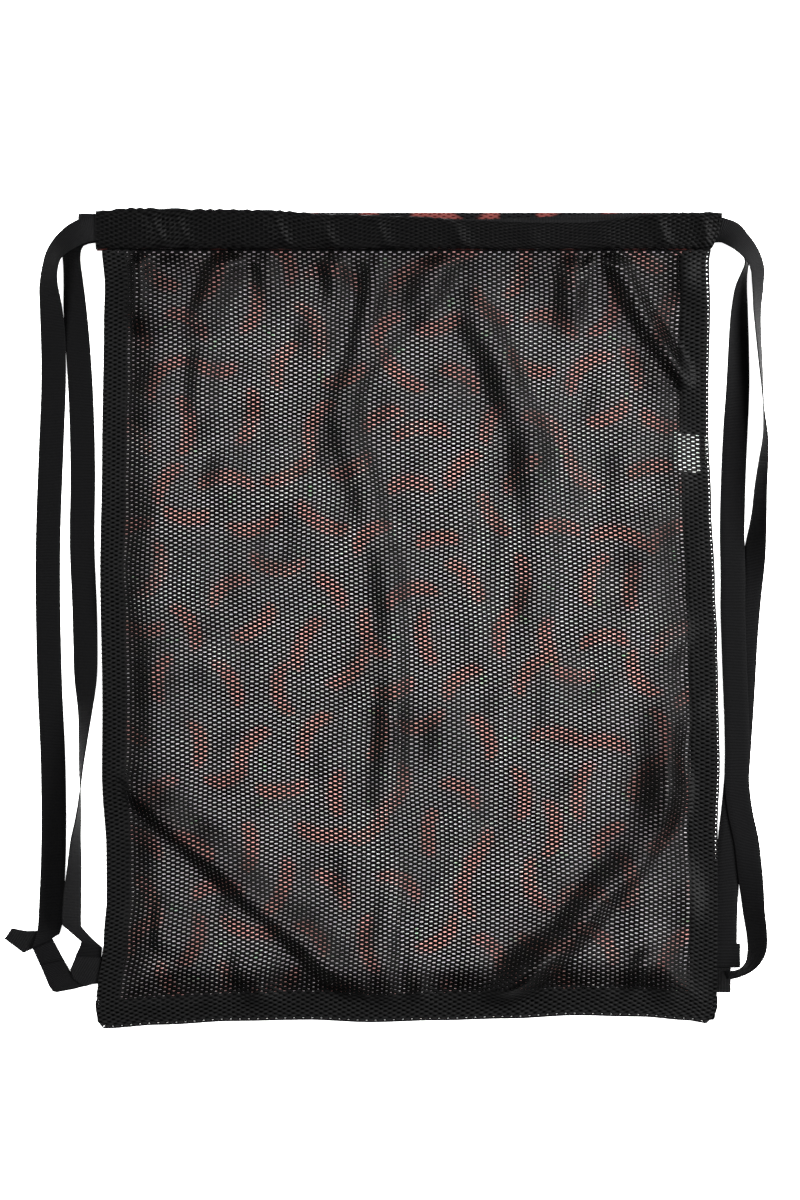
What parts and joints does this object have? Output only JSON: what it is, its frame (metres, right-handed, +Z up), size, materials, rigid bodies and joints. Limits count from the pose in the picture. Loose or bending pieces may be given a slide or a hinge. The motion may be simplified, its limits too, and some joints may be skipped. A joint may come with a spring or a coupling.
{
  "type": "mesh swim bag",
  "caption": "Flat drawstring backpack of black mesh for wet swim gear, laid down, with webbing straps that run through the casings at the mouth and down to tabs at the lower corners.",
  "frame": {"origin": "on the floor, under the middle of the back panel, between the side seams and between the bottom edge and the mouth", "axes": "+X to the right seen from the front panel, +Y from the bottom edge to the mouth, +Z up from the floor through the front panel"},
  "size_m": [0.6129, 0.6584, 0.0283],
  "materials": {
    "black_mesh": "knitted polyester mesh with staggered oval holes, black, slightly shiny yarn",
    "printed_mesh": "knitted polyester mesh, pale inside with red strokes showing through, printed dark outside",
    "webbing": "black woven webbing with fine cross ribs",
    "label": "white satin ribbon, bare"
  },
  "bodies": {
    "root": {"front_panel": "black_mesh", "back_panel": "printed_mesh", "front_casing": "black_mesh", "back_casing": "printed_mesh", "side_hem_left": "black_mesh", "side_hem_right": "black_mesh", "bottom_hem": "black_mesh", "strap_left_front": "webbing", "strap_left_back": "webbing", "strap_left_twist": "webbing", "strap_right_front": "webbing", "strap_right_back": "webbing", "tab_left": "webbing", "tab_right": "webbing", "strap_tail_left": "webbing", "strap_turnback_right": "webbing", "care_label": "label"}
  },
  "joints": []
}
